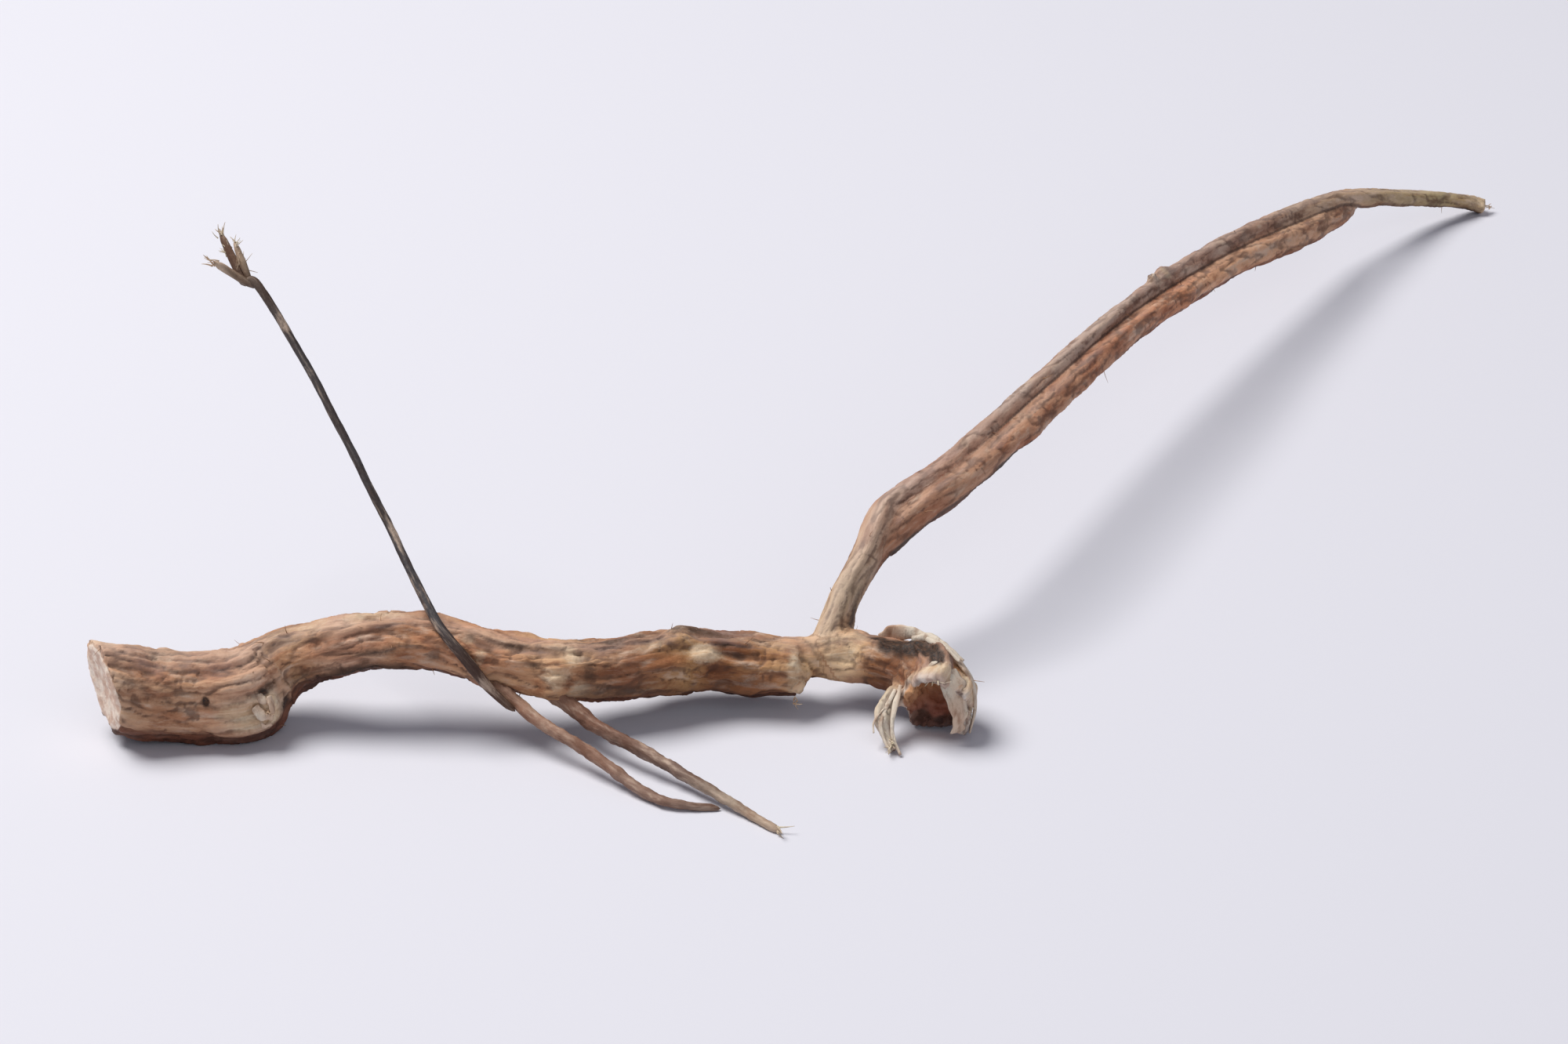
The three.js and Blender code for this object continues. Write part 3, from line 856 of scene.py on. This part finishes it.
    # inside the torn knob: its reddish wood, painted darker towards the bottom as shade in the hollow
    mouthWoodAndPaintedShade = blend(ramp(height, *barkColours["mouthShadeHeights"]), *barkColours["mouthWoodAndPaintedShade"])
    mouthWoodAndPaintedShade = blend(ramp(rays, 0.5, 0.3, 0.0, 0.5), mouthWoodAndPaintedShade, barkColours["rotStreak"])
    colour = blend(ramp(read("mouth"), 0.3, 0.8), colour, mouthWoodAndPaintedShade)
    finish.node_tree.links.new(colour, shader.inputs["Base Color"])
    finish.node_tree.links.new(ramp(patches, 0.3, 0.7, 0.8, 0.6), shader.inputs["Roughness"])
    shader.inputs["Specular IOR Level"].default_value = barkColours["shine"]

    fine = sums("ADD", sums("MULTIPLY", streaks, 0.6), sums("MULTIPLY", specks, 0.5))
    inputs = {
        "Height": fine, "Strength": barkColours["fineBump"], "Distance": barkColours["fineBumpHeight"],
    }
    finish.node_tree.links.new(make("ShaderNodeBump", inputs).outputs[0], shader.inputs["Normal"])
    return finish


def growRoot():
    limbs = [mainRoot, neck, knob, sideRoot, lowerStrand, *stubs]
    voxel = bark["voxel"]
    parts = []
    for limb in limbs:
        thickest = max(point[3] for point in limb["route"])
        sides = max(16, int(round(2 * math.pi * thickest / bark["spacing"])))
        parts.append(limbSurface(limb, bark["spacing"], sides))
    skin = grownTogether(parts, voxel)
    print("skin of the root:", len(skin.vertices), "points")
    dressSkin(skin, limbs)
    piece = placed("root_wood", skin, barkFinish())
    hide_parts("root")
    return piece


# Wiry rootlets

rootlets = {
    "routes": [
        [
            (-34.9, -64.9, 4.4, 0.45), (-36.3, -64.4, 5.4, 0.6), (-38.0, -63.8, 7.0, 0.75),
            (-40.1, -63.3, 9.7, 0.85), (-42.6, -61.6, 12.1, 0.82), (-44.8, -58.3, 13.9, 0.75),
            (-50.5, -48.9, 20.3, 0.65), (-58.5, -37.0, 30.0, 0.62), (-66.2, -27.6, 38.6, 0.66),
            (-68.3, -26.0, 38.9, 0.72), (-69.5, -24.5, 40.3, 0.68), (-71.4, -21.8, 43.1, 0.5),
        ],
        [(-66.8, -27.2, 38.6, 0.4), (-69.4, -26.2, 39.8, 0.5), (-71.5, -27.2, 41.9, 0.4)],
        [(-67.4, -26.7, 38.7, 0.4), (-68.6, -24.9, 40.9, 0.48), (-69.6, -23.6, 42.9, 0.38)],
        [
            (-34.4, -60.5, 7.3, 1.5), (-30.3, -62.9, 5.2, 1.15), (-27.0, -65.1, 3.8, 0.95),
            (-21.1, -69.9, 2.6, 0.8), (-14.3, -75.3, 1.5, 0.7), (-4.7, -84.0, 0.36, 0.46),
        ],
        [
            (-40.6, -60.7, 7.9, 1.2), (-37.1, -62.5, 6.1, 1.05), (-33.4, -65.0, 4.4, 0.8),
            (-26.6, -70.4, 2.5, 0.76), (-20.6, -75.9, 1.1, 0.68), (-16.6, -78.6, 0.7, 0.58),
            (-11.5, -78.9, 0.36, 0.45),
        ],
    ],
    "tones": [
        [
            (0, (96, 72, 58)), (8, (74, 56, 48)), (14, (60, 57, 60)), (56, (60, 54, 55)),
            (63, (88, 72, 60)), (68, (120, 98, 80)),
        ],
        [(0, (84, 68, 58)), (1.6, (104, 84, 68)), (4, (150, 128, 106)), (6, (196, 178, 156))],
        [(0, (84, 68, 58)), (1.4, (116, 96, 78)), (4, (168, 146, 122)), (6, (206, 190, 170))],
        [
            (0, (168, 132, 108)), (12, (132, 102, 86)), (24, (124, 100, 88)), (32, (170, 154, 136)),
            (36, (196, 188, 172)),
        ],
        [(0, (180, 142, 118)), (12, (152, 118, 98)), (26, (138, 108, 92)), (38, (134, 112, 98))],
    ],
    "pinch": [0.3, 0.4, 0.4, 1.0, 1.0],  # how uneven each one's thickness is
    "sway": [0.15, 0.2, 0.2, 0.5, 0.5],  # millimetres off the route
    "swayStart": (3, 10),  # distance along in which the sway sets in
    "apart": 50,  # keeps their grains apart
    "slim": [0.74, 0.9, 0.9, 0.88, 0.88],  # share of the route's radius
    "sides": 14,
    "spacing": 0.22,
}


def growRootlets(finish):
    parts, tones, grains = [], [], []
    for index, (route, stops) in enumerate(zip(rootlets["routes"], rootlets["tones"])):
        limb = {**stub, "end": "round", "route": route, "tones": stops}
        points, faces = limbSurface(limb, rootlets["spacing"], rootlets["sides"])
        _, distance, angle, out, _ = limbCoordinates(points, limb)
        along = distance + rootlets["apart"] * (index + 8)
        grain = np.column_stack([along, out * np.cos(angle), out * np.sin(angle)])
        pinch = 0.35 * layered(grain * 0.5, 2, 91 + index) + 0.18 * layered(grain * (1.3, 2, 2), 2, 95)
        swell = rootlets["slim"][index] * (1 + rootlets["pinch"][index] * pinch)
        middle = stationAt(centreLine(route, readStep), distance)[0]
        sway = np.zeros((len(points), 3))
        for axis in range(3):
            lane = np.full(len(points), axis + 5.0 * index)
            sway[:, axis] = noise(np.column_stack([distance * 0.13, 0 * distance, lane]), 7)
        sway = sway * rootlets["sway"][index] * ease(*rootlets["swayStart"], distance)[:, None]
        points = middle + (points - middle) * swell[:, None] + sway
        points[:, 2] = np.maximum(points[:, 2], lowest["rootlets"])
        parts.append((points, faces))
        tones.append(toneAlong(limb, distance))
        grains.append(grain)
    points, faces = joined(parts)
    mesh = meshOf("rootlets", points * mm, faces)
    dressed(mesh, np.vstack(grains), np.vstack(tones))
    placed("rootlets", mesh, finish)


# Torn wood: flakes are flat strips, fibres are fine hairs

tornWood = {
    # half width, half thickness, the way the flat side faces, then the route
    "flakes": [
        (0.55, 0.26, (0.3, -1, 0.5),
         [(8.6, -55.9, 8.9), (10.4, -56.8, 9.5), (12.6, -58.5, 9.2), (14.2, -59.7, 8.1)]),
        (0.4, 0.2, (0.3, -1, 0.7), [(10.2, -57.2, 9.6), (12.2, -58.9, 9.5), (14.0, -60.4, 8.5)]),
        (0.95, 0.22, (0.2, -1, 0.3),
         [(5.0, -53.9, 7.8), (6.8, -54.2, 8.8), (9.0, -55.3, 9.3), (11.2, -57.2, 9.3)]),
        (0.5, 0.24, (0.3, -1, 0.5), [(-63.6, -64.7, 6.5), (-62.7, -65.2, 5.8), (-61.8, -65.2, 5.9)]),
        (0.6, 0.22, (0.5, -1, 0.1), [(-63.7, -65.6, 5.2), (-62.8, -66.1, 4.3), (-61.7, -65.8, 4.0)]),
        (0.4, 0.2, (0.1, -1, -0.3), [(-63.7, -65.5, 3.5), (-62.8, -65.8, 2.9), (-61.9, -65.7, 3.1)]),
        (0.45, 0.2, (1, -0.6, 0.2), [(-62.1, -65.1, 6.3), (-61.7, -65.8, 4.9), (-61.9, -65.6, 3.6)]),
        (1.1, 0.3, (1, 0.1, 0.4),
         [(13.8, -59.4, 8.0), (15.2, -60.6, 6.2), (15.6, -61.8, 3.6), (15.0, -62.4, 0.8)]),
        (1.55, 0.34, (0.6, -1, 0.3),
         [(12.6, -62.0, 8.2), (13.4, -63.4, 6.6), (13.9, -64.2, 4.0), (13.7, -63.8, 1.6)]),
        (0.9, 0.3, (0.1, -1, 0.6), [(10.6, -61.8, 8.8), (12.2, -62.7, 7.9), (13.4, -63.5, 6.2)]),
        (0.34, 0.16, (-0.2, -1, 0.5),
         [(7.4, -60.6, 5.6), (6.7, -63.4, 3.8), (6.6, -65.0, 1.9), (7.5, -66.8, 0.3)]),
        (0.3, 0.14, (-0.6, -1, 0.3),
         [(6.8, -61.2, 5.4), (5.3, -63.9, 3.2), (5.6, -65.2, 1.6), (6.4, -66.4, 0.4)]),
        (0.42, 0.12, (-1, -0.5, 0), [(6.2, -62.0, 4.4), (4.6, -63.9, 3.0), (4.5, -64.8, 1.9)]),
    ],
    "flakeTone": (222, 210, 192),
    # brushes of fibres: place, direction, length, number
    "brushes": [
        ((-71.2, -21.9, 42.7), (-0.5, 0.5, 1.0), 1.4, 10),
        ((-70.2, -23.4, 41.2), (-1.0, 0.2, 1.0), 1.8, 12),
        ((-69.0, -24.8, 39.9), (0.1, 0.2, 1.0), 2.3, 14),
        ((-71.3, -27.3, 41.7), (-0.9, -0.4, 0.9), 1.4, 8),
        ((-69.5, -23.8, 42.6), (0.3, 0.3, 1.0), 1.2, 8), ((11.4, -63.6, 7.8), (0, -1, 0.3), 1.4, 8),
        ((14.8, -63.0, 4.0), (0.5, -1, -0.1), 1.3, 7), ((6.5, -65.7, 0.9), (0.1, -1, -0.1), 1.6, 14),
        ((-4.4, -58.6, 2.8), (0.6, -0.8, -0.4), 1.0, 5), ((-62.2, -65.6, 4.6), (0.4, -1.0, 0.2), 0.7, 12),
        ((-5.0, -83.8, 0.5), (1, -0.8, 0.1), 1.8, 4), ((81.6, 84.6, 1.0), (1, 0.3, 0.3), 0.8, 6),
    ],
    "brushTone": (222, 210, 184),
    "brushRadius": (0.06, 0.13),
    "brushSpread": 0.25,  # millimetres round the place
    "brushTurn": 0.5,  # how far apart its fibres point
    "hairs": 70,  # loose hairs along the bark
    "hairTone": (170, 132, 98),
    "hairRadius": (0.04, 0.07),
    "hairLength": (0.5, 1.7),
    "hairTurn": 0.6,
    "hairClear": 0.3,  # millimetres that a hair's tip stays above the tabletop
}


def swept(line, across, out, wide, thick, sides):
    angle = np.linspace(0, 2 * math.pi, sides, endpoint=False)[None, :, None]
    rims = line[:, None] + across[:, None] * wide[:, None, None] * np.cos(angle)
    rims = rims + out[:, None] * thick[:, None, None] * np.sin(angle)
    return np.vstack([rims.reshape(-1, 3), line[:1], line[-1:]]), tubeFaces(len(line), sides)


def unit(values):
    return values / np.maximum(np.linalg.norm(values, axis=-1, keepdims=True), 1e-9)


def flake(route, halfWidth, halfThick, facingWay):
    line = smoothLine(route, 12)
    along = unit(np.gradient(line, axis=0))
    across = unit(np.cross(along, facingWay))
    out = np.cross(across, along)
    share = np.linspace(0, 1, len(line))
    edge = np.column_stack([share * 7, share * 0 + line[0, 0], share * 0])
    bend = np.column_stack([share * 5, share * 0 + line[0, 1], share * 0])
    ragged = 1 + 0.5 * noise(edge, 17)
    wide = halfWidth * ragged * (0.55 + 0.45 * np.sin(math.pi * np.minimum(share * 1.3 + 0.12, 1)))
    line = line + across * (0.25 * halfWidth * noise(bend, 19))[:, None]
    return swept(line, across, out, wide, halfThick * (1.1 - 0.6 * share), 10)


def fibre(start, direction, length, radius):
    side = unit(np.cross(direction, rng.normal(size=3)))
    share = np.linspace(0, 1, 9)[:, None]
    curl = rng.uniform(-0.35, 0.35)
    line = start + direction * share * length + side * curl * length * share**2
    along = unit(np.gradient(line, axis=0))
    across = unit(np.cross(along, side))
    thick = radius * (1 - 0.75 * share[:, 0])
    return swept(line, across, np.cross(across, along), thick, thick, 5)


def growTornWood(finish, bodyPoints, bodyNormals):
    parts, tones = [], []
    for halfWidth, halfThick, facingWay, route in tornWood["flakes"]:
        parts.append(flake(route, halfWidth, halfThick, facingWay))
        tones.append(tornWood["flakeTone"])
    for root, direction, length, number in tornWood["brushes"]:
        for _ in range(number):
            start = np.array(root) + rng.normal(size=3) * tornWood["brushSpread"]
            away = unit(np.array(direction) + rng.normal(size=3) * tornWood["brushTurn"])
            reach = length * rng.uniform(0.5, 1.1)
            parts.append(fibre(start, away, reach, rng.uniform(*tornWood["brushRadius"])))
            tones.append(tornWood["brushTone"])
    for chosen in rng.choice(len(bodyPoints), tornWood["hairs"], replace=False):
        away = unit(bodyNormals[chosen] + rng.normal(size=3) * tornWood["hairTurn"])
        length = rng.uniform(*tornWood["hairLength"])
        if bodyPoints[chosen][2] + min(0, away[2]) * length > tornWood["hairClear"]:
            start = bodyPoints[chosen] - away * 0.1  # rooted just under the bark
            parts.append(fibre(start, away, length, rng.uniform(*tornWood["hairRadius"])))
            tones.append(tornWood["hairTone"])
    points, faces = joined(parts)
    points[:, 2] = np.maximum(points[:, 2], lowest["tornWood"])
    mesh = meshOf("torn_wood", points * mm, faces)
    tone = np.vstack([np.tile(srgb(*colour)[:3], (len(part[0]), 1)) for part, colour in zip(parts, tones)])
    dressed(mesh, points[:, [2, 0, 1]], tone)
    placed("torn_wood", mesh, finish)


setStudio()
print("studio set")
rootWood = growRoot()
print("root grown")
growRootlets(rootWood.data.materials[0])
print("rootlets grown")
growTornWood(rootWood.data.materials[0], meshPoints(rootWood.data) / mm, meshNormals(rootWood.data))
print("torn wood placed")
